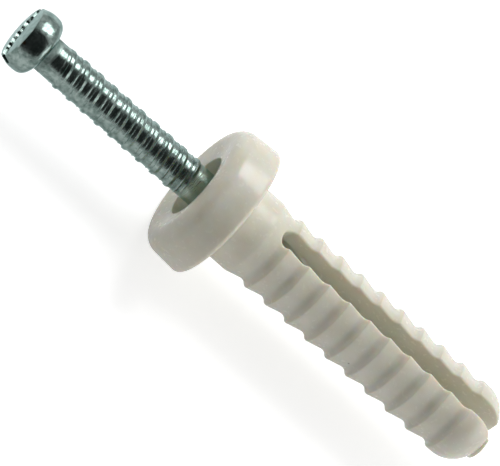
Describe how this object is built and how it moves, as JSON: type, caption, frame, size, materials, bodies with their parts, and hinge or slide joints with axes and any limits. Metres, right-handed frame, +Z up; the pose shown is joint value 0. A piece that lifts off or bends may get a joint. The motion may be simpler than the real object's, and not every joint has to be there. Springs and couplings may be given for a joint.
{
  "type": "hammer fixing plug",
  "caption": "Nylon hammer-in wall plug with a dished flange, smooth neck and barbed split barrel, holding a part-driven threaded steel nail with a slotted pan head.",
  "frame": {"origin": "on the plug's axis, in the plane of the flange's underside, which lies against the wall's face", "axes": "+X along the plug, from the nail's head to the tip, into the wall; +Z up, in the plane of the split"},
  "size_m": [0.0458, 0.0114, 0.0114],
  "materials": {
    "nylon": "satin",
    "zinc_steel": "satin"
  },
  "bodies": {
    "root": {"plug": "nylon", "nail": "zinc_steel"}
  },
  "joints": []
}
